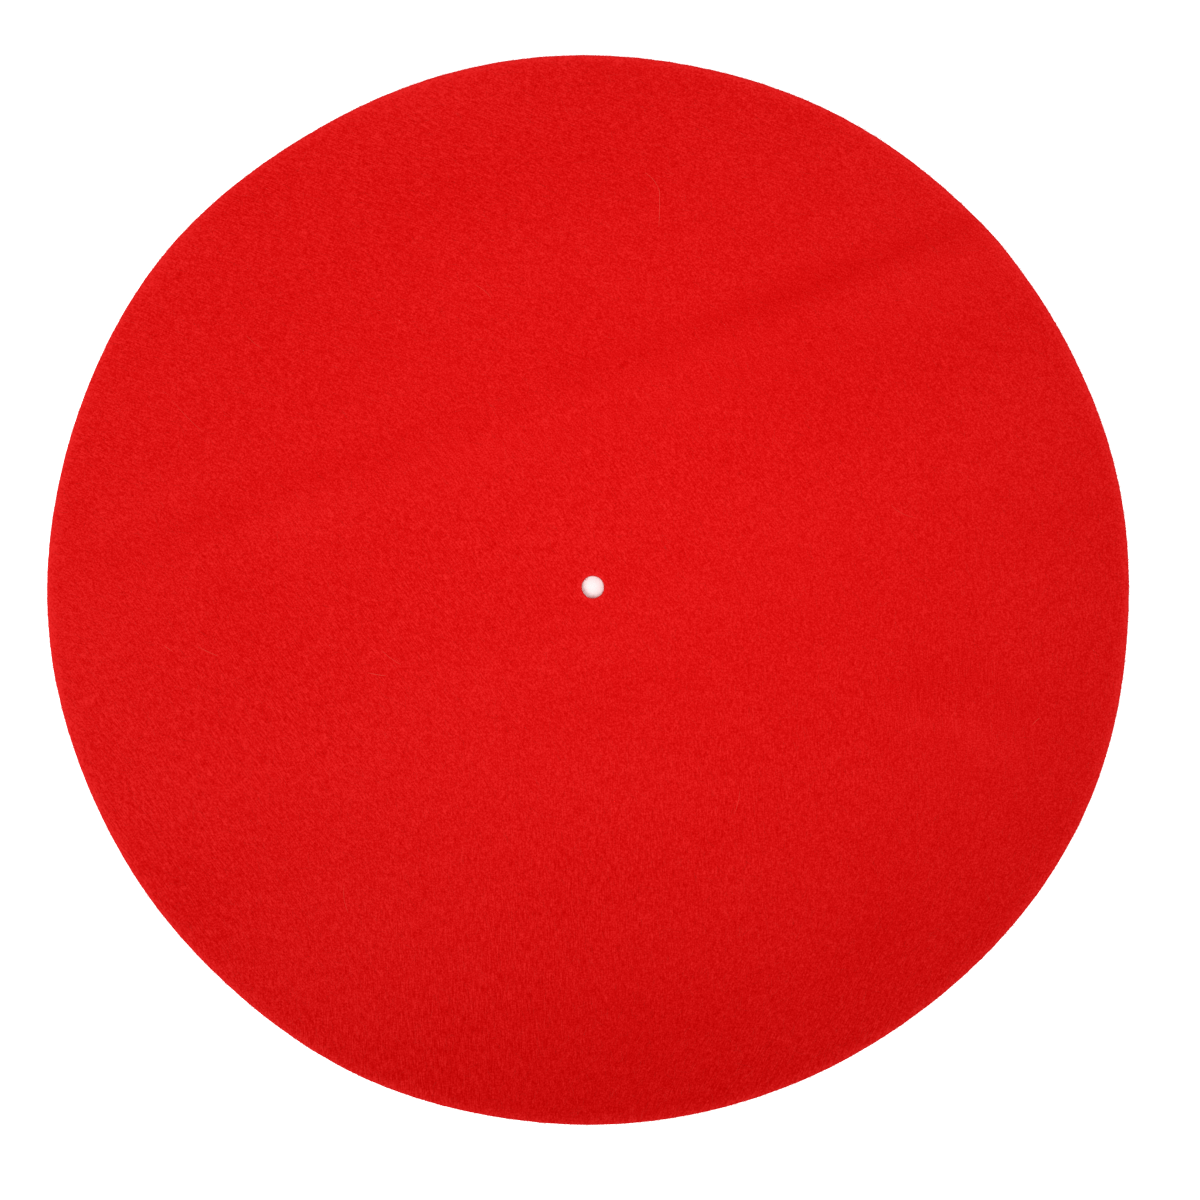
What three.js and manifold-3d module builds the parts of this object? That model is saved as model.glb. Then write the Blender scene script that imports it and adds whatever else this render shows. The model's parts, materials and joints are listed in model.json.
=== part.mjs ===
import * as THREE from "three";
import { mergeVertices } from "three/addons/utils/BufferGeometryUtils.js";
import Module from "manifold-3d";

// A turntable platter mat: one disc cut from a sheet of pressed felt, with a punched spindle hole.
// Millimetres, +Z up. The origin is the middle of the spindle hole on the underside.
// It is made as the real one is: a sheet with a pressed fold line is cut out round its rim and punched.

// The disc
const MAT_RADIUS = 152.4;
const FELT_THICKNESS = 3;
const RIM_EDGE_ROUNDING = 0.8;

// The spindle hole, a quarter of an inch across, which the felt's give lets slip over a spindle
const SPINDLE_HOLE_RADIUS = 3.175;
const HOLE_EDGE_ROUNDING = 0.5;

// The rim isn't a true circle. Each slow wave has so many crests round the rim, a height and a first crest.
const RIM_WAVES = [
  { crests: 2, height: 0.96, peakDegrees: 174 },
  { crests: 4, height: 0.35, peakDegrees: 69 },
  { crests: 6, height: 0.1, peakDegrees: 24 },
  { crests: 8, height: 0.2, peakDegrees: 12.5 },
];

// The fold line left by storage: a low straight crest that grows from nothing up to the rim
const FOLD_DEGREES = 21.3;
const FOLD_OFFSET = 52;
const FOLD_FADE_OUT = -88;
const FOLD_HEIGHT = 1.1;
const FOLD_FAR_SIDE = 11;
const FOLD_NEAR_SIDE = 17;

// The colour and surface of the felt
const FELT_COLOUR = 0xdc1414;
const FELT_ROUGHNESS = 0.96;

// Fineness of the facets
const RIM_FACETS = 192;
const HOLE_FACETS = 64;
const ROUNDING_FACETS = 4;
const FOLD_SIDE_FACETS = 7;
const FOLD_LENGTH_FACETS = 16;

// Room by which the sheet and the cutting tools stand past what they cut
const CUT_OVERRUN = 4;
// Where a rounding leaves off, short of level, so that the tool leaves the felt through its face
const ROUNDING_SWEEP = THREE.MathUtils.degToRad(70);

const wasm = await Module();
wasm.setup();

// A closed three.js geometry as a solid that can be cut.
function solidFrom(geometry) {
  geometry.deleteAttribute("normal");
  geometry.deleteAttribute("uv");
  const merged = mergeVertices(geometry, 1e-5);
  return new wasm.Manifold(
    new wasm.Mesh({
      numProp: 3,
      vertProperties: merged.attributes.position.array,
      triVerts: new Uint32Array(merged.index.array),
    }),
  );
}

// A cut solid as three.js geometry, with flat facets.
function geometryFrom(solid) {
  const { vertProperties, triVerts } = solid.getMesh();
  const geometry = new THREE.BufferGeometry();
  geometry.setAttribute("position", new THREE.Float32BufferAttribute(vertProperties, 3));
  geometry.setIndex(new THREE.Uint32BufferAttribute(triVerts, 1));
  const faceted = geometry.toNonIndexed();
  faceted.computeVertexNormals();
  return faceted;
}

// Moves every vertex of a geometry to where place puts it.
function moveVertices(geometry, place) {
  const position = geometry.attributes.position;
  const vertex = new THREE.Vector3();
  for (let i = 0; i < position.count; i += 1) {
    place(vertex.fromBufferAttribute(position, i));
    position.setXYZ(i, vertex.x, vertex.y, vertex.z);
  }
  return geometry;
}

// Where the fold reaches the rim, along its own line from the point nearest the hole.
function foldRimEnd() {
  return Math.sqrt(MAT_RADIUS ** 2 - FOLD_OFFSET ** 2);
}

// Height of the fold over the flat face, at a place along its line and across it.
// Along it the crest rises in a straight ramp. To each side it falls as the square of what is left.
function foldHeight(along, across) {
  const ramp = (along - FOLD_FADE_OUT) / (foldRimEnd() - FOLD_FADE_OUT);
  const side = across < FOLD_OFFSET ? FOLD_NEAR_SIDE : FOLD_FAR_SIDE;
  const left = Math.max(0, 1 - Math.abs(across - FOLD_OFFSET) / side);
  return FOLD_HEIGHT * Math.max(0, ramp) * left ** 2;
}

// Height of the felt's upper face over its underside at a point of the mat.
function faceHeight(x, y) {
  const turn = THREE.MathUtils.degToRad(FOLD_DEGREES);
  const along = x * Math.cos(turn) + y * Math.sin(turn);
  const across = y * Math.cos(turn) - x * Math.sin(turn);
  return FELT_THICKNESS + foldHeight(along, across);
}

// Evenly spaced places from one value to another, without the last one.
function steps(from, to, count) {
  return Array.from({ length: count }, (_, i) => from + ((to - from) * i) / count);
}

// The uncut sheet, flat below, on a grid that lies along the fold and is fine across it.
function feltSheet() {
  const reach = MAT_RADIUS + CUT_OVERRUN;
  const alongLines = [-reach, ...steps(FOLD_FADE_OUT, reach, FOLD_LENGTH_FACETS), reach];
  const acrossLines = [
    -reach,
    ...steps(FOLD_OFFSET - FOLD_NEAR_SIDE, FOLD_OFFSET, FOLD_SIDE_FACETS),
    ...steps(FOLD_OFFSET, FOLD_OFFSET + FOLD_FAR_SIDE, FOLD_SIDE_FACETS),
    FOLD_OFFSET + FOLD_FAR_SIDE,
    reach,
  ];
  const alongCells = alongLines.length - 1;
  const acrossCells = acrossLines.length - 1;
  const sheet = new THREE.BoxGeometry(alongCells, acrossCells, 1, alongCells, acrossCells, 1);
  sheet.translate(alongCells / 2, acrossCells / 2, 0);
  moveVertices(sheet, (vertex) => {
    vertex.x = alongLines[Math.round(vertex.x)];
    vertex.y = acrossLines[Math.round(vertex.y)];
    vertex.z = vertex.z < 0 ? 0 : FELT_THICKNESS + foldHeight(vertex.x, vertex.y);
  });
  return sheet.rotateZ(THREE.MathUtils.degToRad(FOLD_DEGREES));
}

// The side of a round cut, from under the sheet to over it, as points of radius and height.
// bulge is 1 where the felt lies inside the cut and -1 where it lies outside.
function cutSide(radius, rounding, bulge) {
  const turns = steps(0, ROUNDING_SWEEP, ROUNDING_FACETS).concat(ROUNDING_SWEEP);
  const rounded = (turn, height) =>
    new THREE.Vector2(radius - bulge * rounding * (1 - Math.cos(turn)), height);
  const lower = turns.map((turn) => rounded(turn, rounding * (1 - Math.sin(turn))));
  const upper = turns.map((turn) =>
    rounded(turn, FELT_THICKNESS - rounding * (1 - Math.sin(turn))),
  );
  const edge = upper[ROUNDING_FACETS].x;
  return [
    new THREE.Vector2(edge, -CUT_OVERRUN),
    ...lower.reverse(),
    ...upper,
    new THREE.Vector2(edge, FELT_THICKNESS + FOLD_HEIGHT + CUT_OVERRUN),
  ];
}

// A solid turned about the hole's axis from the side of a round cut.
function turned(side, facets) {
  const profile = [
    new THREE.Vector2(0, side[0].y),
    ...side,
    new THREE.Vector2(0, side[side.length - 1].y),
  ];
  return new THREE.LatheGeometry(profile, facets).rotateX(Math.PI / 2);
}

// How far the rim stands out from its circle at an angle.
function rimWave(angle) {
  const height = (wave) =>
    wave.height * Math.cos(wave.crests * (angle - THREE.MathUtils.degToRad(wave.peakDegrees)));
  return RIM_WAVES.reduce((sum, wave) => sum + height(wave), 0);
}

// What the cut round the rim keeps. Its upper rounding follows the felt's face over the fold.
function rimCut() {
  const cut = turned(cutSide(MAT_RADIUS, RIM_EDGE_ROUNDING, 1), RIM_FACETS);
  return moveVertices(cut, (vertex) => {
    const radius = Math.hypot(vertex.x, vertex.y);
    if (radius < MAT_RADIUS / 2) return;
    const growth = 1 + rimWave(Math.atan2(vertex.y, vertex.x)) / radius;
    vertex.x *= growth;
    vertex.y *= growth;
    if (vertex.z > FELT_THICKNESS / 2) vertex.z += faceHeight(vertex.x, vertex.y) - FELT_THICKNESS;
  });
}

// What the punch takes out for the spindle.
function spindlePunch() {
  return turned(cutSide(SPINDLE_HOLE_RADIUS, HOLE_EDGE_ROUNDING, -1), HOLE_FACETS);
}

const cutMat = solidFrom(feltSheet())
  .intersect(solidFrom(rimCut()))
  .subtract(solidFrom(spindlePunch()));

const feltMat = new THREE.Mesh(
  geometryFrom(cutMat),
  new THREE.MeshStandardMaterial({
    color: FELT_COLOUR,
    roughness: FELT_ROUGHNESS,
    metalness: 0,
  }),
);
feltMat.name = "felt_mat";

const platterMat = new THREE.Group();
platterMat.add(feltMat);

export default platterMat;
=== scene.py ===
import json
import math

import bpy
import numpy as np
from mathutils import Matrix, Vector


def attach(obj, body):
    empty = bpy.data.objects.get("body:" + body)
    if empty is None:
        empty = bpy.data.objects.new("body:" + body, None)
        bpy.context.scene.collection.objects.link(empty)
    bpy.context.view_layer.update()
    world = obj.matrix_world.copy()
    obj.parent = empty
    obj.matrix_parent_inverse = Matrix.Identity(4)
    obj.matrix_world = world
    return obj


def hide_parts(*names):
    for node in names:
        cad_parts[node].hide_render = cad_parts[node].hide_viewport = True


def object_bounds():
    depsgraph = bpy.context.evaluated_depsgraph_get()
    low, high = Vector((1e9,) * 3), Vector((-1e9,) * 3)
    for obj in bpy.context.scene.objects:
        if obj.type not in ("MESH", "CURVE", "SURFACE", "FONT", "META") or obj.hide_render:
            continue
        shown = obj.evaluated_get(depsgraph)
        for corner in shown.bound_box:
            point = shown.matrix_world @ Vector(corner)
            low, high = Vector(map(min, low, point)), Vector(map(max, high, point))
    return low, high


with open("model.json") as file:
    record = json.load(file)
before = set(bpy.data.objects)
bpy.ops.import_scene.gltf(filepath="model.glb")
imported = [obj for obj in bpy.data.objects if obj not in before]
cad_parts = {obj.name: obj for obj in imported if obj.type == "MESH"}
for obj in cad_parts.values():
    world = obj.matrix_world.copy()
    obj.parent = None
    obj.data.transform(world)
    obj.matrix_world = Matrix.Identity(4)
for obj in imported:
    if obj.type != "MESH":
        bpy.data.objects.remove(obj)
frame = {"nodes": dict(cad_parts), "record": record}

# The looks of a turntable platter mat: one disc of pressed felt that lies flat, its nap and its cut edges.
# Metres, in the frame of the solid model: the origin is the middle of the spindle hole on the underside.

cad_low, cad_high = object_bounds()

MM = 0.001
SEED = 1948


def grey(level):
    """A colour with the same level of red, green and blue."""
    return (level, level, level, 1.0)


# Sizes that the solid model holds
mounts = {mount["name"]: mount for mount in frame["record"]["mounts"]}
THICKNESS = mounts["record_face"]["pos_m"][2]
FOLD_HEIGHT = cad_high.z - THICKNESS
cad_vertices = np.array([vertex.co for vertex in frame["nodes"]["felt_mat"].data.vertices])
cad_radius = np.hypot(cad_vertices[:, 0], cad_vertices[:, 1])
HOLE_RADIUS = float(cad_radius.min())

# The slow waves of the solid's rim, by how many crests each has round it
RIM_WAVES = (2, 4, 6, 8)

# Where the cut round the rim wandered: (crests round the rim, height, degrees of the first crest)
RIM_WANDER = (
    (3, 0.05 * MM, 4), (5, 0.14 * MM, -30), (7, 0.10 * MM, -17), (9, 0.10 * MM, 18),
    (10, 0.06 * MM, -1), (11, 0.07 * MM, 12), (12, 0.04 * MM, 6), (14, 0.05 * MM, 11),
)

# The cut edges
RIM_ROUNDING = 0.9 * MM
HOLE_ROUNDING = 0.5 * MM
EDGE_RAGGEDNESS = 0.10 * MM
EDGE_TUFT_PITCH = 1.3 * MM
EDGE_TUFT_SEED = 21

# The fold line, which runs up to the right-hand rim
FOLD_ANGLE = math.radians(21.3)
FOLD_OFFSET = 52 * MM
FOLD_FADE_OUT = -88 * MM
FOLD_FAR_SIDE = 11 * MM
FOLD_NEAR_SIDE = 17 * MM
FOLD_SOFTNESS = 2.5 * MM

# The small wrinkle at the right, a low curved swelling; the bright foot on its near side is painted light
WRINKLE_MIDDLE = (101.0 * MM, -45.5 * MM)
WRINKLE_ANGLE = math.radians(-14.7)
WRINKLE_HALF_LENGTH = 26 * MM
WRINKLE_BOW = 6.3 * MM
WRINKLE_CREST = 7.0 * MM
WRINKLE_HALF_WIDTH = 9.0 * MM
WRINKLE_HEIGHT = 0.4 * MM

# The felt's slight unevenness: (pitch of the lumps, height, seed)
FACE_LUMPS = ((60 * MM, 0.07 * MM, 1), (22 * MM, 0.035 * MM, 2), (8 * MM, 0.02 * MM, 3))
UNDERSIDE_LUMPS = ((22 * MM, 0.05 * MM, 11), (8 * MM, 0.02 * MM, 12))

# Fineness of the felt's surface
ROUND_STEPS = 512
FACE_RINGS = 104
UNDERSIDE_RINGS = 38
ROUNDING_STEPS = 5
WALL_STEPS = 3

# Colours of the dyed wool, as they are in daylight
DEEP_RED = (0.597, 0.0004, 0.0004, 1.0)
FELT_RED = (0.730, 0.0052, 0.0052, 1.0)
BRIGHT_RED = (0.885, 0.0190, 0.0185, 1.0)
PALE_FIBRE_RED = (0.920, 0.0450, 0.0360, 1.0)
LOOSE_FIBRE_RED = (0.950, 0.1000, 0.0700, 1.0)

# The felt's tone runs from 0, its deep red, over its middle to 1, its bright red.
# The strengths of the next groups add to the middle, and the felt's points hold their sum under this name.
MIDDLE_TONE = 0.5
TONE_NAME = "broad_tone"

# Painted light and shade over the mat, added to the lamps' own fall-off: (power of the share of the way
# right, power of that up, strength)
PAINTED_LIGHT_DRIFT = (
    (0, 0, 0.023), (1, 0, -0.027), (0, 1, -0.024), (1, 1, 0.052),
    (2, 0, 0.023), (0, 2, -0.095), (0, 3, 0.136),
)

# Painted shade and painted light across the fold, in place of the shading of its flanks: (distance of its
# middle from the crest, half width, strength)
FOLD_PAINTED_SHADE = (5.6 * MM, 4.8 * MM, -1.0)
FOLD_PAINTED_LIGHT = (-5.5 * MM, 8.0 * MM, 0.045)
FOLD_FAINTEST = 0.4

# The two stretches of the fold where painted shade lies on its far side:
# (place of the stretch's middle along the fold, half length, strength)
FOLD_SHADED_STRETCHES = ((-78 * MM, 52 * MM, 0.095), (92 * MM, 50 * MM, 0.165))

# Painted light and shade across the wrinkle, from its foot: a painted highlight at the foot and painted shade
# behind it
WRINKLE_PAINTED_LIGHT = (-0.3 * MM, 3.4 * MM, 0.085)
WRINKLE_PAINTED_SHADE = (14.5 * MM, 5.5 * MM, -0.065)

# Darker and lighter patches in the felt's colour, in millimetres:
# (x, y, half length, half width, degrees of its length, strength)
TONE_PATCHES = (
    (-48, 139, 24, 6, 20, 0.070),
    (-112, -86, 16, 9, -55, -0.070),
    (78, -103, 16, 7, 50, -0.060),
    (136, -31, 12, 9, 80, -0.055),
    (-118, 96, 14, 7, 40, 0.040),
    (32, 36, 10, 4, -22, -0.045),
    (-36, 113, 16, 8, 15, -0.040),
    (-83, 18, 10, 7, 20, 0.040),
    (-55, 55, 14, 7, 20, 0.040),
    (-66, -100, 34, 20, 20, 0.055),
    (0, -58, 26, 14, 0, 0.055),
    (14, -128, 34, 18, 5, -0.065),
    (24, 113, 26, 14, -10, -0.055),
    (-100, 0, 22, 14, 0, -0.050),
)

# Clouds in the tone: (pitch along its length, times finer across, degrees of its length, strength, seed)
TONE_CLOUDS = ((70 * MM, 4.5, 20, 0.032, 31), (30 * MM, 1.0, 0, 0.018, 32), (9 * MM, 1.8, 130, 0.019, 33))

# Painted light along the cut edges, for fibres that catch light and against the shade of the rounding: how
# far each reaches in, and its strength
RIM_PAINTED_LIGHT = ((2.0 * MM, 0.30), (0.6 * MM, 0.20))
HOLE_PAINTED_LIGHT = (0.8 * MM, 0.30)

# The way the nap lies, in degrees: in the middle of the mat, and its turn by the way up and to the right
NAP_MIDDLE = 120.0
NAP_TURN_UP = 45.0
NAP_TURN_RIGHT = 22.5

# Streaks of nap in the material: their length, width and depth, the ways they are drawn, and their fading
STREAK_SIZES = (2.8 * MM, 0.30 * MM, 0.5 * MM)
STREAK_WAYS = (62.0, 94.0, 126.0, 158.0)
STREAK_STEP = STREAK_WAYS[1] - STREAK_WAYS[0]
STREAK_FADE_RIGHT = 0.35
STREAK_FADE_UP = 0.25

# Fine unevenness in the material: the size of each kind, and the strengths in the tone
GRAIN_SIZE = 0.4 * MM
TUFT_SIZE = 1.6 * MM
STREAK_STRENGTH, GRAIN_STRENGTH, TUFT_STRENGTH = 0.8, 1.1, 0.04
BUMP_STRENGTH = 0.1
BUMP_HEIGHT = 0.25 * MM
BUMP_OF_GRAIN = 0.6

# Surface of the felt and of a fibre: roughness of a dark and of a bright one, and what stays the same
FELT_ROUGHNESS = (1.0, 0.9)
FELT_SURFACE = {
    "Specular IOR Level": 0.02,
    "Sheen Weight": 0.03,
    "Sheen Roughness": 0.6,
    "Sheen Tint": (1.0, 0.12, 0.08, 1.0),
}
FIBRE_ROUGHNESS = (0.6, 0.8)
FIBRE_SURFACE = {
    "Specular IOR Level": 0.08,
    "Sheen Weight": 0.1,
    "Sheen Roughness": 0.4,
    "Sheen Tint": (1.0, 0.25, 0.16, 1.0),
}
FIBRE_TIP_SHARE = 0.2

# Fibres: how many of each kind, and the seed of their places
FACE_NAP = {"nap_first": SEED + 1, "nap_second": SEED + 2, "nap_third": SEED + 3}
FACE_FIBRES = 13500
UNDERSIDE_FIBRES = 4500
RIM_FIBRES = 6500
HOLE_FIBRES = 130
UNDERSIDE_SEED = SEED + 4
RIM_SEED = SEED + 5
HOLE_SEED = SEED + 6
LOOSE_SEED = SEED + 9

# Every short fibre: its range of thickness
FIBRE_THICKNESS = (0.018 * MM, 0.034 * MM)

# Nap fibres: most are combed along the nap and the others lie anyhow, and most are arched and the others
# have a raised tip. Spreads, bend and wiggle are in radians, and gamma curves give length and lift by shape
# and scale. A raised tip is so many lifts high, and a fibre is sunk by a share of its thickness.
NAP_CLEARANCE = 1.2 * MM
COMBED_SHARE = 0.7
COMBED_SPREAD = 0.35
WILD_SPREAD = 1.0
NAP_SHORTEST = 0.8 * MM
NAP_LENGTH = (6, 0.4 * MM)
NAP_BEND = 0.5
NAP_WIGGLE = 0.25
NAP_LIFT = (2, 0.02 * MM)
ARCHED_SHARE = 0.7
RAISED_TIP = 2.0
NAP_SUNK = 0.4
NAP_TAPER = np.array([0.35, 0.9, 1.0, 0.85, 0.25])

# Fibres out of a cut edge: they grow between two shares of the felt's height, and each length is shortened
# by a random share. Slant and curl are spreads in radians, and climb is that of a slope. The clearance over
# the ground is in thicknesses.
EDGE_LEVELS = (0.12, 0.95)
EDGE_ROOT_DEPTH = 0.15 * MM
EDGE_SHORTENED = (0.5, 1.0)
EDGE_SLANT = 0.75
EDGE_CLIMB = 0.45
EDGE_CURL = 1.1
EDGE_CLEARANCE = 1.5
EDGE_TAPER = np.array([1.0, 1.0, 0.85, 0.65, 0.3])
RIM_FUZZ_LENGTH = (0.5 * MM, 1.7 * MM)
HOLE_FUZZ_LENGTH = (0.4 * MM, 1.2 * MM)
HOLE_FUZZ_CROWD = 0.6

# Long loose fibres, in millimetres: for each, its middle, heading in degrees, length, whole turn in degrees
# and thickness
LOOSE_FIBRES = (
    (18.9, 107.9, 89, 11, 7, 0.11),
    (17.6, 115.2, 123, 8, 50, 0.08),
    (-114.6, 47.8, -46, 13, 12, 0.09),
    (-61.0, -24.8, -10, 5.2, 8, 0.19),
    (-108.4, -18.4, -25, 6, 6, 0.11),
    (-119.5, -17.5, -35, 3, 10, 0.11),
    (-57.2, -20.1, -38, 7, 20, 0.10),
    (125.8, -38.0, 45, 3.2, -30, 0.12),
    (-96.0, 69.0, -40, 6, 18, 0.09),
    (41.0, -61.0, 75, 7, 25, 0.09),
    (88.0, 21.0, 155, 8, -40, 0.09),
    (-31.0, 84.0, 140, 6, 30, 0.09),
    (-70.0, -88.0, 100, 8, -35, 0.09),
)

# Their fineness, how high their middles lie, the thickness left at their tips and the darkest one's tone
LOOSE_STATIONS = 17
LOOSE_SIDES = 6
LOOSE_HOVER = 0.12 * MM
LOOSE_TIP = 0.35
LOOSE_DARKEST = 0.4

# Where a strand's tone stands on its own map: clear of the map's sides, with a little room round each strand
TONE_MARGIN = 0.06
TONE_SPREAD = 0.02

# The ground: how it throws light on, how it is seen away from the mat and on the floor of the hole, with
# painted shade towards the hole's wall
WHITE = grey(1.0)
GROUND_PLAIN = grey(0.85)
GROUND_SEEN = grey(1.8)
GROUND_LIFT = 0.5
HOLE_FLOOR_SEEN = grey(1.12)
# Painted shade on the hole's floor: its seen colour falls to this at the wall
HOLE_FLOOR_PAINTED_SHADE = grey(0.88)
FLOOR_BRIGHTEST = (-0.4 * MM, 0.3 * MM, 0.0)
HALF_WAY_OUT = 40 * MM
GROUND_HALF_SIZE = 4.0
GROUND_DROP = 0.02 * MM
SEEING_RAYS = ("Is Camera Ray", "Is Glossy Ray", "Is Transmission Ray")

# The light: a soft sky and two lamps. Power is in watts, size, distance and aim are in metres, and the rest
# in degrees.
SKY_STRENGTH = 0.45
LAMPS = {
    "key": {
        "power": 40.1, "size": 0.6, "side": -106, "height": 64, "distance": 1.4,
        "aim": (-0.211, 0.238, 0.0), "cone": 57,
    },
    "overhead": {
        "power": 25.9, "size": 0.3, "side": -110, "height": 89.9, "distance": 1.5,
        "aim": (0.062, 0.009, 0.0), "cone": 18.2,
    },
}

# The camera, which looks straight down but for a slight lean
SENSOR_WIDTH = 36.0
LENS = 95.0
CAMERA_CLIP = (0.01, 20.0)
CAMERA_AIM = (1.95 * MM, -3.68 * MM, THICKNESS)
CAMERA_DISTANCE = 895.7 * MM
CAMERA_LEAN = math.radians(3.087)
CAMERA_SIDE = math.radians(-143.4)


# The rim

def wave_columns(turn):
    """The plain circle and the cosine and sine of each slow wave, at an angle or at many."""
    columns = [np.ones_like(turn)]
    for crests in RIM_WAVES:
        columns += [np.cos(crests * turn), np.sin(crests * turn)]
    return columns


def fit_rim():
    """How much of the circle and of each slow wave there is in the corners of the solid's outer wall."""
    middle_of_wall = np.abs(cad_vertices[:, 2] - THICKNESS / 2) < THICKNESS / 4
    corners = middle_of_wall & (cad_radius > cad_radius.max() / 2)
    angle = np.arctan2(cad_vertices[corners, 1], cad_vertices[corners, 0])
    return np.linalg.lstsq(np.stack(wave_columns(angle), 1), cad_radius[corners], rcond=None)[0]


rim_shares = fit_rim()


def rim_radius(turn):
    """The rim's radius by angle: the solid's circle and slow waves, and the wander of the cut."""
    slow = sum(share * column for share, column in zip(rim_shares, wave_columns(turn)))
    wander = [
        height * np.cos(crests * (turn - math.radians(first))) for crests, height, first in RIM_WANDER
    ]
    return slow + sum(wander)


def hole_radius(turn):
    """The hole's radius by angle, the same all round."""
    return np.full_like(turn, HOLE_RADIUS)


MAT_REACH = float(rim_radius(0.0))
FOLD_RIM_END = math.sqrt(MAT_REACH ** 2 - FOLD_OFFSET ** 2)


# The felt's relief

# What the place of a cell and its seed are multiplied by, and how far the sine of the sum is stretched
HASH_STEPS = (127.1, 311.7, 74.7, 53.3)
HASH_STRETCH = 43758.5453


def hashed(cell_x, cell_y, cell_z, seed):
    """A number from -1 to 1 for each whole cell: the fraction of a large sine of its place."""
    by_x, by_y, by_z, by_seed = HASH_STEPS
    mixed = np.sin(cell_x * by_x + cell_y * by_y + cell_z * by_z + seed * by_seed) * HASH_STRETCH
    return 2 * (mixed - np.floor(mixed)) - 1


def lumps(x, y, z, pitch, seed):
    """Smooth random heights from -1 to 1: corner values of a grid of that pitch, eased between corners."""
    places = [np.asarray(axis, float) / pitch for axis in np.broadcast_arrays(x, y, z)]
    cells = [np.floor(place) for place in places]
    parts = [place - cell for place, cell in zip(places, cells)]
    eased = [part * part * (3 - 2 * part) for part in parts]
    total = 0
    for corner in np.ndindex(2, 2, 2):
        weight = 1
        for side, ease in zip(corner, eased):
            weight = weight * (ease if side else 1 - ease)
        total = total + weight * hashed(*[cell + side for cell, side in zip(cells, corner)], seed)
    return total


def turned_by(x, y, angle):
    """How far a point lies along a line through the origin at that angle, and how far to its left."""
    return x * math.cos(angle) + y * math.sin(angle), y * math.cos(angle) - x * math.sin(angle)


def bell(away, middle, half_width, strength):
    """A bell curve: the strength times e to the minus square of the distance from its middle."""
    return strength * np.exp(-((away - middle) / half_width) ** 2)


def fold_place(x, y):
    """A point's way along the fold, its share of the ramp from fade out to rim, and its way across."""
    along, left = turned_by(x, y, FOLD_ANGLE)
    ramp = np.maximum(0, (along - FOLD_FADE_OUT) / (FOLD_RIM_END - FOLD_FADE_OUT))
    return along, ramp, left - FOLD_OFFSET


def fold_relief(x, y):
    """The fold's height: a ramp along its line, times the square of what is left to its foot."""
    along, ramp, across = fold_place(x, y)
    away = np.sqrt(across ** 2 + FOLD_SOFTNESS ** 2) - FOLD_SOFTNESS
    side = np.where(across < 0, FOLD_NEAR_SIDE, FOLD_FAR_SIDE)
    return FOLD_HEIGHT * ramp * np.maximum(0, 1 - away / side) ** 2


def wrinkle_place(x, y):
    """A point's fade along the wrinkle, 1 in the middle and 0 past the ends, and its way from the foot."""
    along, left = turned_by(x - WRINKLE_MIDDLE[0], y - WRINKLE_MIDDLE[1], WRINKLE_ANGLE)
    fade = 1 - (along / WRINKLE_HALF_LENGTH) ** 2
    return np.maximum(0, fade), left - WRINKLE_BOW * fade


def wrinkle_relief(x, y):
    """The wrinkle's height: a bell across its crest, faded out towards both ends."""
    fade, across = wrinkle_place(x, y)
    return bell(across, WRINKLE_CREST, WRINKLE_HALF_WIDTH, WRINKLE_HEIGHT) * fade ** 2


def face_relief(x, y):
    """Height of the upper face over its flat level: fold, wrinkle and lumps."""
    uneven = sum(height * lumps(x, y, 0.0, pitch, seed) for pitch, height, seed in FACE_LUMPS)
    return fold_relief(x, y) + wrinkle_relief(x, y) + uneven


def underside_relief(x, y):
    """Height of the underside over the ground: lumps that never reach below it."""
    return sum(
        height * (1 + lumps(x, y, 0.0, pitch, seed)) / 2 for pitch, height, seed in UNDERSIDE_LUMPS
    )


# The felt's broad tone, with its painted light and shade

def fold_painted_light(x, y):
    """Painted shade along the fold: a dark bell behind two stretches of it, and painted light, a growing
    bright bell before it.
    """
    along, ramp, across = fold_place(x, y)
    dark = sum(bell(along, *stretch) for stretch in FOLD_SHADED_STRETCHES) * bell(across, *FOLD_PAINTED_SHADE)
    bright = (FOLD_FAINTEST + (1 - FOLD_FAINTEST) * ramp ** 2) * bell(across, *FOLD_PAINTED_LIGHT)
    return dark + bright


def wrinkle_painted_light(x, y):
    """Painted light and shade along the wrinkle: a bright bell at its foot and a dark one behind it."""
    fade, across = wrinkle_place(x, y)
    return fade * (bell(across, *WRINKLE_PAINTED_LIGHT) + bell(across, *WRINKLE_PAINTED_SHADE))


def broad_tone(x, y):
    """The felt's slow changes of colour: painted light and shade over the mat and along the fold and the
    wrinkle, random clouds of tone and darker and lighter patches.
    """
    right, up = x / MAT_REACH, y / MAT_REACH
    tone = sum(strength * right ** by_right * up ** by_up for by_right, by_up, strength in PAINTED_LIGHT_DRIFT)
    tone = tone + fold_painted_light(x, y) + wrinkle_painted_light(x, y)
    for pitch, finer, degrees, strength, seed in TONE_CLOUDS:
        along, left = turned_by(x, y, math.radians(degrees))
        tone = tone + strength * lumps(along, left * finer, 0.0, pitch, seed)
    for middle_x, middle_y, half_length, half_width, degrees, strength in TONE_PATCHES:
        along, left = turned_by(x - middle_x * MM, y - middle_y * MM, math.radians(degrees))
        tone = tone + bell(along, 0, half_length * MM, strength) * bell(left, 0, half_width * MM, 1)
    return tone


# The felt's surface

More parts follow.
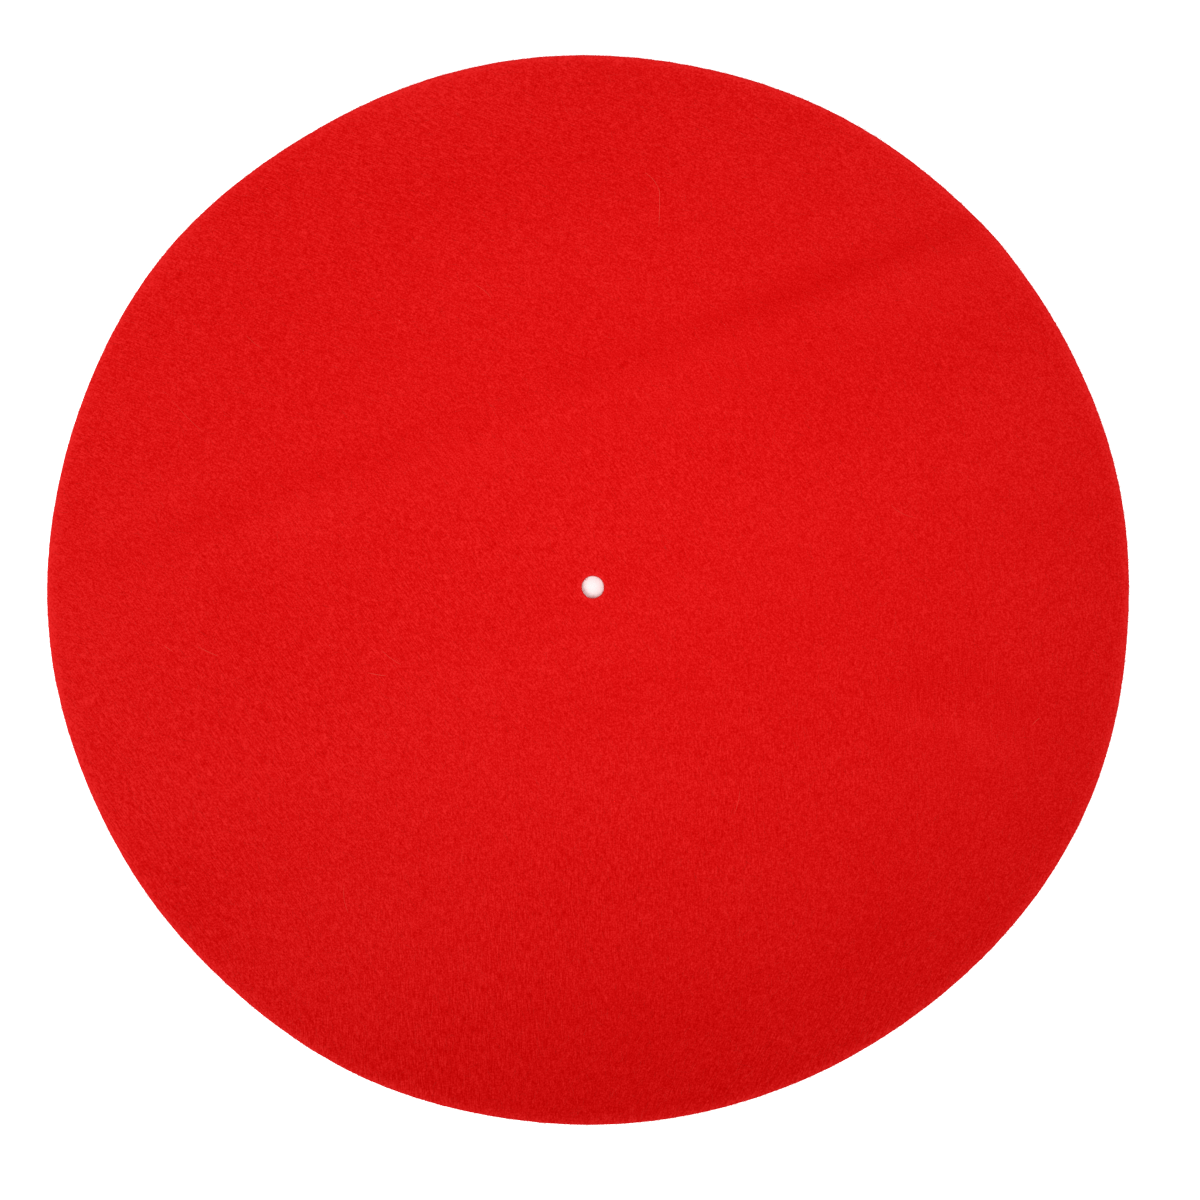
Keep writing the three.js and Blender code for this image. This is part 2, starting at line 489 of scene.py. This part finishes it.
def felt_section():
    """The felt's closed section, hole wall to face to rim to underside.

    Each point has a share of the way from hole to rim, an inset from that edge and a share of the height.
    """
    turn = np.linspace(0, math.pi / 2, ROUNDING_STEPS + 1)
    out, over = 1 - np.cos(turn), 1 - np.sin(turn)
    wall = np.linspace(0, 1, WALL_STEPS + 2)[1:-1]
    hole_share, rim_share = HOLE_ROUNDING / THICKNESS, RIM_ROUNDING / THICKNESS
    face_out = np.linspace(0, 1, FACE_RINGS + 1)[1:-1]
    face_in = np.linspace(1, 0, UNDERSIDE_RINGS + 1)[1:-1]
    none, whole = np.zeros_like, np.ones_like
    parts = [
        (none(wall), none(wall), hole_share + (1 - 2 * hole_share) * wall),
        (none(turn), HOLE_ROUNDING * out, 1 - hole_share * over),
        (face_out, HOLE_ROUNDING * (1 - face_out) - RIM_ROUNDING * face_out, whole(face_out)),
        (whole(turn), -RIM_ROUNDING * out[::-1], 1 - rim_share * over[::-1]),
        (whole(wall), none(wall), 1 - rim_share - (1 - 2 * rim_share) * wall),
        (whole(turn), -RIM_ROUNDING * out, rim_share * over),
        (face_in, HOLE_ROUNDING * (1 - face_in) - RIM_ROUNDING * face_in, none(face_in)),
        (none(turn), HOLE_ROUNDING * out[::-1], hole_share * over[::-1]),
    ]
    return [np.concatenate(column) for column in zip(*parts)]


def grid_faces(around, along):
    """Quads of a surface that closes on itself both round and along, as rows of four corner numbers."""
    i, j = np.meshgrid(np.arange(around), np.arange(along), indexing="ij")
    next_i, next_j = (i + 1) % around, (j + 1) % along
    corners = [i * along + j, next_i * along + j, next_i * along + next_j, i * along + next_j]
    return np.stack(corners, -1).reshape(-1, 4)


def make_piece(name, points, faces, material):
    """A smooth mesh object at the origin from arrays of points and of faces."""
    mesh = bpy.data.meshes.new(name)
    mesh.from_pydata(points, [], faces)
    mesh.shade_smooth()
    mesh.materials.append(material)
    piece = bpy.data.objects.new(name, mesh)
    bpy.context.scene.collection.objects.link(piece)
    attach(piece, "root")
    return piece


def felt_body(material):
    """The felt: its section carried round the hole, out to the uneven rim, with the face's relief.

    Its cut walls are ragged, most at half height. Its broad tone, with painted light and shade, is kept at
    its points, where the material reads it.
    """
    share, inset, height = felt_section()
    turn = np.linspace(0, 2 * math.pi, ROUND_STEPS, endpoint=False)[:, None]
    rim = rim_radius(turn)
    radius = HOLE_RADIUS + (rim - HOLE_RADIUS) * share + inset
    level = np.broadcast_to(height * THICKNESS, radius.shape)
    tuft = lumps(radius * np.cos(turn), radius * np.sin(turn), level, EDGE_TUFT_PITCH, EDGE_TUFT_SEED)
    on_wall = np.where((share == 0) | (share == 1), 4 * height * (1 - height), 0)
    radius = radius + EDGE_RAGGEDNESS * tuft * on_wall
    x, y = radius * np.cos(turn), radius * np.sin(turn)
    z = level + height * face_relief(x, y) + (1 - height) * underside_relief(x, y)
    points = np.stack([x, y, z], -1).reshape(-1, 3)
    piece = make_piece("felt", points, grid_faces(ROUND_STEPS, len(share)), material)
    # Painted light along the rim's cut edge and round the hole
    glow = sum(bell(rim - radius, 0, *settings) for settings in RIM_PAINTED_LIGHT)
    tone = broad_tone(x, y) + glow + bell(radius - HOLE_RADIUS, 0, *HOLE_PAINTED_LIGHT)
    stored = piece.data.attributes.new(TONE_NAME, "FLOAT", "POINT")
    stored.data.foreach_set("value", tone.ravel())
    return piece


def flat_area():
    """The area of the felt laid flat: pi times what the rim's mean squared radius has over the hole's."""
    turns = np.linspace(0, 2 * math.pi, ROUND_STEPS, endpoint=False)
    return math.pi * (float(np.mean(rim_radius(turns) ** 2)) - HOLE_RADIUS ** 2)


# Fibres

def strand_mesh(name, lines, radii, tones, material, sides=3):
    """Thin closed tubes: a small polygon carried along each line, shrunk towards the tips and capped.

    lines is (strands, stations, 3), radii (strands, stations) and tones one number a strand.
    The tube's own map has the strand's tone across and its length up.
    """
    count, stations = lines.shape[:2]
    ahead = np.gradient(lines, axis=1)
    ahead /= np.linalg.norm(ahead, axis=2, keepdims=True)
    # A hair's breadth gives a strand that stands upright a side as well
    beside = np.cross(ahead, [0.0, 0.0, 1.0]) + [1e-6, 0, 0]
    beside /= np.linalg.norm(beside, axis=2, keepdims=True)
    above = np.cross(beside, ahead)
    turn = 2 * math.pi * np.arange(sides) / sides
    ring = np.cos(turn)[:, None] * beside[:, :, None] + np.sin(turn)[:, None] * above[:, :, None]
    points = lines[:, :, None] + radii[:, :, None, None] * ring
    first = np.arange(count)[:, None, None] * stations * sides
    station = np.arange(stations - 1)[None, :, None] * sides
    here, following = np.arange(sides), (np.arange(sides) + 1) % sides
    corners = [here, here + sides, following + sides, following]
    walls = np.stack([first + station + corner for corner in corners], -1).reshape(-1, 4)
    root, tip = first[:, 0], first[:, 0] + (stations - 1) * sides
    caps = np.concatenate([root + here, tip + here[::-1]])
    piece = make_piece(name, points.reshape(-1, 3), walls.tolist() + caps.tolist(), material)
    vertex_tone = np.repeat(tones, stations * sides)
    vertex_way = np.tile(np.repeat(np.linspace(0, 1, stations), sides), count)
    vertex_side = np.tile(np.linspace(-1, 1, sides), count * stations)
    loops = np.empty(len(piece.data.loops), np.int32)
    piece.data.loops.foreach_get("vertex_index", loops)
    across = TONE_MARGIN + (1 - 2 * TONE_MARGIN) * vertex_tone + TONE_SPREAD * vertex_side
    layout = piece.data.uv_layers.new(name="OFBake")
    layout.uv.foreach_set("vector", np.stack([across[loops], vertex_way[loops]], 1).ravel())
    return piece


def nap_degrees(right, up):
    """The way the nap lies, in degrees, by the share of the way to the mat's right and to its top.

    It leans to the left at the top and stands upright lower down. Arrays and a material's values both work.
    """
    return up * NAP_TURN_UP - right * (1.0 - up) * NAP_TURN_RIGHT + NAP_MIDDLE


def walked(angle, length, start):
    """How far lines in the plane have gone from their station start, by their angle at every station.

    A row is one line. length is a column, and each step between stations is the same share of it.
    """
    step = length / (angle.shape[1] - 1)
    gone = [np.cumsum(part(angle) * step, 1) for part in (np.cos, np.sin)]
    return [way - way[:, [start]] for way in gone]


def scatter_on_disc(chance, count, margin):
    """Even random places on the felt, clear of the hole and of the rim by a margin."""
    turn = chance.uniform(-math.pi, math.pi, count)
    inner, outer = HOLE_RADIUS + margin, rim_radius(turn) - margin
    radius = np.sqrt(chance.uniform(inner ** 2, outer ** 2))
    return radius * np.cos(turn), radius * np.sin(turn)


def nap_lines(chance, x, y):
    """Lines of nap in the plane: each has its middle at its place and turns steadily, with a slow wiggle."""
    count, stations = len(x), len(NAP_TAPER)
    spread = np.where(chance.random(count) < COMBED_SHARE, COMBED_SPREAD, WILD_SPREAD)
    lie = np.radians(nap_degrees(x / MAT_REACH, y / MAT_REACH))
    heading = lie + chance.normal(0, 1, count) * spread
    length = chance.gamma(*NAP_LENGTH, count) + NAP_SHORTEST
    bend = chance.normal(0, NAP_BEND, count)
    way = np.linspace(-0.5, 0.5, stations)
    wiggle = chance.normal(0, NAP_WIGGLE, (count, 1))
    wiggle = wiggle * np.sin(2 * math.pi * (way + chance.random((count, 1))))
    angle = heading[:, None] + bend[:, None] * way + wiggle
    gone_x, gone_y = walked(angle, length[:, None], stations // 2)
    return x[:, None] + gone_x, y[:, None] + gone_y


def lying_fibres(name, count, seed, upper, material):
    """Nap fibres that lie in the surface: both ends sunk, the middle or one tip a little raised."""
    chance = np.random.default_rng(seed)
    line_x, line_y = nap_lines(chance, *scatter_on_disc(chance, count, NAP_CLEARANCE))
    thick = chance.uniform(*FIBRE_THICKNESS, (count, 1))
    way = np.linspace(0, 1, len(NAP_TAPER))
    lift = chance.gamma(*NAP_LIFT, (count, 1))
    arched = np.sin(math.pi * way) * lift
    raised = way ** 2 * lift * RAISED_TIP
    over = np.where(chance.random((count, 1)) < ARCHED_SHARE, arched, raised) - NAP_SUNK * thick
    if upper:
        line_z = THICKNESS + face_relief(line_x, line_y) + over
    else:
        line_z = np.maximum(underside_relief(line_x, line_y) - over, thick)
    lines = np.stack([line_x, line_y, line_z], -1)
    return strand_mesh(name, lines, thick * NAP_TAPER, chance.random(count) ** 2, material)


def edge_fibres(name, count, seed, material, edge, outward, length_range, crowd=0.0):
    """Short fibres out of a cut edge: rooted in its wall, each bends away as it leaves.

    edge gives the wall's radius by angle, outward is 1 or -1, and crowd gathers roots at the near side.
    """
    chance = np.random.default_rng(seed)
    turn = chance.uniform(-math.pi, math.pi, (count, 1))
    turn = turn - crowd * np.cos(turn)
    level = chance.uniform(*EDGE_LEVELS, (count, 1)) * THICKNESS
    length = chance.uniform(*length_range, (count, 1)) * chance.uniform(*EDGE_SHORTENED, (count, 1))
    slant, climb = chance.normal(0, EDGE_SLANT, (count, 1)), chance.normal(0, EDGE_CLIMB, (count, 1))
    curl = chance.normal(0, EDGE_CURL, (count, 1))
    way = np.linspace(0, 1, len(EDGE_TAPER))
    gone_out, gone_round = walked(slant + curl * way, length, 0)
    radius = edge(turn) + outward * (gone_out - EDGE_ROOT_DEPTH)
    x = radius * np.cos(turn) - gone_round * np.sin(turn)
    y = radius * np.sin(turn) + gone_round * np.cos(turn)
    thick = chance.uniform(*FIBRE_THICKNESS, (count, 1))
    z = np.maximum(level + climb * way * length, thick * EDGE_CLEARANCE)
    lines = np.stack([x, y, z], -1)
    return strand_mesh(name, lines, thick * EDGE_TAPER, chance.random(count), material)


def loose_fibres(name, seed, material):
    """The few long pale fibres that lie loose on the face, each a steady curve a little above it."""
    chance = np.random.default_rng(seed)
    x, y, heading, length, turned, thick = np.array(LOOSE_FIBRES).T[:, :, None]
    way = np.linspace(-0.5, 0.5, LOOSE_STATIONS)
    angle = np.radians(heading + turned * way)
    gone_x, gone_y = walked(angle, length * MM, LOOSE_STATIONS // 2)
    line_x, line_y = x * MM + gone_x, y * MM + gone_y
    hover = LOOSE_HOVER * (1 - (2 * way) ** 4)
    line_z = THICKNESS + face_relief(line_x, line_y) + hover
    taper = LOOSE_TIP + (1 - LOOSE_TIP) * np.cos(math.pi * way) ** 0.5
    lines = np.stack([line_x, line_y, line_z], -1)
    tones = LOOSE_DARKEST + (1 - LOOSE_DARKEST) * chance.random(len(LOOSE_FIBRES))
    return strand_mesh(name, lines, thick / 2 * MM * taper, tones, material, sides=LOOSE_SIDES)


# Materials

class Value:
    """A socket of a material. Operators on it add Math nodes, and node() adds any other node."""

    def __init__(self, tree, socket=None):
        self.tree = tree
        self.socket = socket

    def node(self, kind, settings, inputs, output=0):
        """A new node: its settings first, then what its sockets hold or read. Returns one of its outputs."""
        made = self.tree.nodes.new(kind)
        for name, setting in settings.items():
            setattr(made, name, setting)
        for name, given in inputs.items():
            if isinstance(given, Value):
                self.tree.links.new(given.socket, made.inputs[name])
            else:
                made.inputs[name].default_value = given
        return Value(self.tree, made.outputs[output] if made.outputs else None)

    def other(self, output):
        """Another output of the node that this value comes from."""
        return Value(self.tree, self.socket.node.outputs[output])

    def maths(self, operation, first, second=0.0):
        return self.node("ShaderNodeMath", {"operation": operation}, {0: first, 1: second})

    def __add__(self, other):
        return self.maths("ADD", self, other)

    def __sub__(self, other):
        return self.maths("SUBTRACT", self, other)

    def __rsub__(self, other):
        return self.maths("SUBTRACT", other, self)

    def __mul__(self, other):
        return self.maths("MULTIPLY", self, other)

    def __abs__(self):
        return self.maths("ABSOLUTE", self)

    __radd__ = __add__
    __rmul__ = __mul__

    def clamped(self):
        """This value kept between 0 and 1."""
        return self.node("ShaderNodeClamp", {}, {0: self})

    def between(self, low, high):
        """A number between two, by this value."""
        return self * (high - low) + low

    def blend(self, low, high):
        """A colour between two, by this value."""
        return self.node("ShaderNodeMix", {"data_type": "RGBA"}, {0: self, 6: low, 7: high}, output=2)

    def distance(self, point):
        """How far these coordinates are from a point."""
        return self.node("ShaderNodeVectorMath", {"operation": "DISTANCE"}, {0: self, 1: point}, "Value")

    def noise(self, size, detail, turn=0.0):
        """Smooth noise around 0 on these coordinates, with lumps of that size, or sizes along X, Y and Z."""
        sizes = size if isinstance(size, tuple) else (size, size, size)
        placed = self.node(
            "ShaderNodeMapping",
            {"vector_type": "TEXTURE"},
            {"Vector": self, "Rotation": (0, 0, turn), "Scale": sizes},
        )
        noise = self.node("ShaderNodeTexNoise", {}, {"Vector": placed, "Scale": 1.0, "Detail": detail})
        return noise - 0.5


def new_material(name):
    """An empty material, and a start from which its first nodes are made."""
    material = bpy.data.materials.new(name)
    material.use_nodes = True
    tree = material.node_tree
    tree.nodes.clear()
    return material, Value(tree)


def finish_material(start, inputs):
    """The surface shader of a material, with its constant and its varying sockets."""
    shader = start.node("ShaderNodeBsdfPrincipled", {}, inputs)
    start.node("ShaderNodeOutputMaterial", {}, {"Surface": shader})


def nap_streaks(place, right, up):
    """Streaks along the nap: noise stretched several ways, each shown where the nap lies nearest to it.

    They are clearest at the near left and faintest at the far right.
    """
    angle = nap_degrees(right, up)
    streaks = []
    for way in STREAK_WAYS:
        share = (1.0 - abs(angle - way) * (1 / STREAK_STEP)).clamped()
        streaks.append(share * place.noise(STREAK_SIZES, detail=0.0, turn=math.radians(way)))
    fade = 1.0 - right * STREAK_FADE_RIGHT - up * (1.0 - up) * STREAK_FADE_UP
    return sum(streaks) * fade


def felt_material():
    """Pressed wool: a fine grain and streaks along the nap, on the broad tone and painted light and shade
    that its points hold.
    """
    material, start = new_material("pressed_felt")
    place = start.node("ShaderNodeTexCoord", {}, {}, output="Object")
    x = place.node("ShaderNodeSeparateXYZ", {}, {0: place})
    right, up = x * (1 / MAT_REACH), x.other("Y") * (1 / MAT_REACH)
    streaks = nap_streaks(place, right, up)
    grain = place.noise(GRAIN_SIZE, detail=0.0)
    tufts = place.noise(TUFT_SIZE, detail=1.0)
    fine = streaks * STREAK_STRENGTH + grain * GRAIN_STRENGTH + tufts * TUFT_STRENGTH
    # The broad tone holds painted light and shade as well as the felt's own tone
    broad = start.node("ShaderNodeAttribute", {"attribute_name": TONE_NAME}, {}, output="Fac")
    tone = (fine + broad + MIDDLE_TONE).clamped()
    dark_half = (tone * (1 / MIDDLE_TONE)).clamped()
    bright_half = ((tone - MIDDLE_TONE) * (1 / (1 - MIDDLE_TONE))).clamped()
    relief = {
        "Strength": BUMP_STRENGTH,
        "Distance": BUMP_HEIGHT,
        "Height": grain * BUMP_OF_GRAIN + tufts,
    }
    finish_material(start, {
        "Base Color": bright_half.blend(dark_half.blend(DEEP_RED, FELT_RED), BRIGHT_RED),
        "Roughness": tone.between(*FELT_ROUGHNESS),
        "Normal": start.node("ShaderNodeBump", {}, relief),
        **FELT_SURFACE,
    })
    return material


def fibre_material(name, low, high):
    """Wool fibre: paler towards the tip, its tone read from the strand's own map."""
    material, start = new_material(name)
    layout = start.node("ShaderNodeUVMap", {"uv_map": "OFBake"}, {})
    tone = start.node("ShaderNodeSeparateXYZ", {}, {0: layout})
    way = tone.other("Y")
    paler = (tone * (1 - FIBRE_TIP_SHARE) + way * FIBRE_TIP_SHARE).clamped()
    finish_material(start, {
        "Base Color": paler.blend(low, high),
        "Roughness": tone.between(*FIBRE_ROUGHNESS),
        **FIBRE_SURFACE,
    })
    return material


def seen_directly(start):
    """1 where a ray of the camera arrives, straight or by a gloss or a clear body, and 0 for other light."""
    path = start.node("ShaderNodeLightPath", {}, {})
    return sum(path.other(kind) for kind in SEEING_RAYS).clamped()


def ground_material():
    """White ground: the camera sees it lifted to white where it is lit, so only a shadow is darker.

    In the hole it isn't lifted, so the light that reaches its floor shows there, with painted shade that
    darkens it from near its middle out to the wall.
    """
    material, start = new_material("white_ground")
    place = start.node("ShaderNodeTexCoord", {}, {}, output="Object")
    outside = (place.distance((0.0, 0.0, 0.0)) * (1 / HALF_WAY_OUT) - 0.5).clamped()
    # Painted shade: the hole's floor darkens from its brightest point out to the wall
    to_painted_shade = (place.distance(FLOOR_BRIGHTEST) * (1 / HOLE_RADIUS)).clamped()
    floor_with_painted_shade = (to_painted_shade * to_painted_shade).blend(HOLE_FLOOR_SEEN, HOLE_FLOOR_PAINTED_SHADE)
    plain = start.node("ShaderNodeBsdfDiffuse", {}, {"Color": GROUND_PLAIN})
    floor = start.node("ShaderNodeBsdfDiffuse", {}, {"Color": floor_with_painted_shade})
    bright = start.node("ShaderNodeBsdfDiffuse", {}, {"Color": GROUND_SEEN})
    glow = start.node("ShaderNodeEmission", {}, {"Color": WHITE, "Strength": GROUND_LIFT})
    lifted = start.node("ShaderNodeAddShader", {}, {0: bright, 1: glow})
    looks = start.node("ShaderNodeMixShader", {}, {0: outside, 1: floor, 2: lifted})
    shader = start.node("ShaderNodeMixShader", {}, {0: seen_directly(start), 1: plain, 2: looks})
    start.node("ShaderNodeOutputMaterial", {}, {"Surface": shader})
    return material


# The stage, the light and the camera

def make_ground():
    """A wide flat ground just under the felt."""
    corners = [(-1, -1), (1, -1), (1, 1), (-1, 1)]
    mesh = bpy.data.meshes.new("ground")
    points = [(GROUND_HALF_SIZE * x, GROUND_HALF_SIZE * y, -GROUND_DROP) for x, y in corners]
    mesh.from_pydata(points, [], [(0, 1, 2, 3)])
    mesh.materials.append(ground_material())
    ground = bpy.data.objects.new("ground", mesh)
    bpy.context.scene.collection.objects.link(ground)


def make_sky():
    """Even soft light from all round, which the camera sees as plain white."""
    world = bpy.data.worlds.new("soft_sky")
    bpy.context.scene.world = world
    world.use_nodes = True
    world.node_tree.nodes.clear()
    start = Value(world.node_tree)
    light = start.node("ShaderNodeBackground", {}, {"Color": WHITE, "Strength": SKY_STRENGTH})
    white = start.node("ShaderNodeBackground", {}, {"Color": WHITE, "Strength": 1.0})
    shader = start.node("ShaderNodeMixShader", {}, {0: seen_directly(start), 1: light, 2: white})
    start.node("ShaderNodeOutputWorld", {}, {"Surface": shader})


def around(aim, side, height, distance):
    """A place at a distance from aim, towards a side and a height above the ground."""
    way = Vector((math.cos(side) * math.cos(height), math.sin(side) * math.cos(height), math.sin(height)))
    return Vector(aim) + distance * way


def look_at(thing, place, aim):
    """Puts a lamp or camera at a place, turned to its aim with the mat's +Y upwards."""
    ahead = (Vector(aim) - place).normalized()
    right = ahead.cross(Vector((0, 1, 0))).normalized()
    above = right.cross(ahead)
    thing.location = place
    thing.rotation_euler = Matrix((right, above, -ahead)).transposed().to_euler()
    bpy.context.scene.collection.objects.link(thing)


def make_lamp(name, power, size, side, height, distance, aim, cone):
    """A soft round lamp: side and height say in degrees where it stands seen from its aim."""
    lamp = bpy.data.lights.new(name, "SPOT")
    lamp.energy = power
    lamp.shadow_soft_size = size / 2
    lamp.spot_size = math.radians(cone)
    lamp.spot_blend = 1.0
    place = around(aim, math.radians(side), math.radians(height), distance)
    look_at(bpy.data.objects.new(name, lamp), place, aim)


def make_camera():
    """The view from straight above, with a slight lean to the near left."""
    camera = bpy.data.cameras.new("camera")
    camera.sensor_width = SENSOR_WIDTH
    camera.lens = LENS
    camera.clip_start, camera.clip_end = CAMERA_CLIP
    thing = bpy.data.objects.new("camera", camera)
    place = around(CAMERA_AIM, CAMERA_SIDE, math.pi / 2 - CAMERA_LEAN, CAMERA_DISTANCE)
    look_at(thing, place, CAMERA_AIM)
    bpy.context.scene.camera = thing


# The whole scene

make_camera()
make_ground()
make_sky()
for name, settings in LAMPS.items():
    make_lamp(name, **settings)

felt = felt_body(felt_material())
nap_red = fibre_material("nap_fibre", FELT_RED, PALE_FIBRE_RED)
loose_red = fibre_material("loose_fibre", BRIGHT_RED, LOOSE_FIBRE_RED)
fibres = [
    lying_fibres(name, FACE_FIBRES // len(FACE_NAP), seed, True, nap_red)
    for name, seed in FACE_NAP.items()
]
fibres.append(lying_fibres("nap_underside", UNDERSIDE_FIBRES, UNDERSIDE_SEED, False, nap_red))
fibres.append(edge_fibres("rim_fuzz", RIM_FIBRES, RIM_SEED, nap_red, rim_radius, 1, RIM_FUZZ_LENGTH))
fibres.append(edge_fibres(
    "hole_fuzz", HOLE_FIBRES, HOLE_SEED, nap_red, hole_radius, -1, HOLE_FUZZ_LENGTH, HOLE_FUZZ_CROWD
))
fibres.append(loose_fibres("loose_fibres", LOOSE_SEED, loose_red))

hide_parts("felt_mat")
flat_area()

bpy.context.scene.view_settings.view_transform = "Standard"
